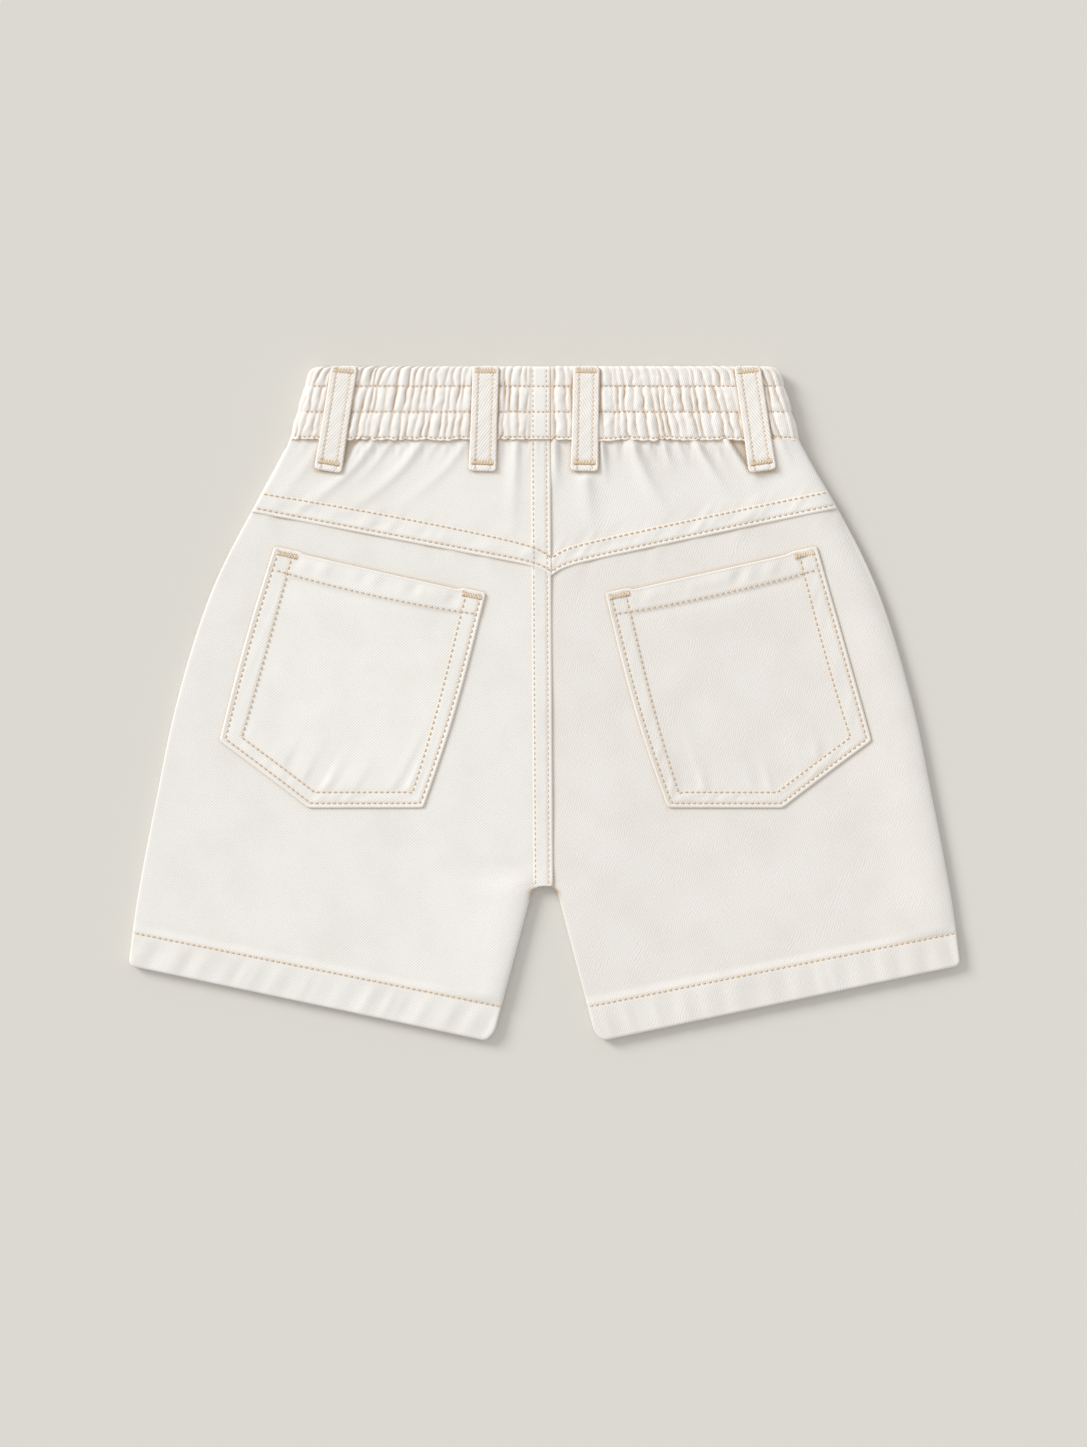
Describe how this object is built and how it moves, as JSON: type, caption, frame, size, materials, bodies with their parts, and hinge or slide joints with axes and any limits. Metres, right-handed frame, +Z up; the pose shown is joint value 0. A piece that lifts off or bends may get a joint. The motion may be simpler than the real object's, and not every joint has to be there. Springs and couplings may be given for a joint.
{
  "type": "denim shorts",
  "caption": "Child's pull-on denim shorts with a gathered elastic waistband, belt loops, a shaped back yoke and patch pockets, laid flat with the back upwards.",
  "frame": {"origin": "on the surface that the shorts lie on, under the middle of their length and width", "axes": "+X to the right across the shorts, seen from above; +Y towards the waist; +Z up from the surface"},
  "size_m": [0.374, 0.303, 0.0102],
  "materials": {
    "denim": "off-white cotton twill, matt, with a slight nap"
  },
  "bodies": {
    "root": {"back_left": "denim", "back_right": "denim", "yoke_left": "denim", "yoke_right": "denim", "front_left": "denim", "front_right": "denim", "waistband_left": "denim", "waistband_right": "denim", "pocket_left": "denim", "pocket_right": "denim", "belt_loop_left_side": "denim", "belt_loop_left_back": "denim", "belt_loop_right_back": "denim", "belt_loop_right_side": "denim"}
  },
  "joints": []
}
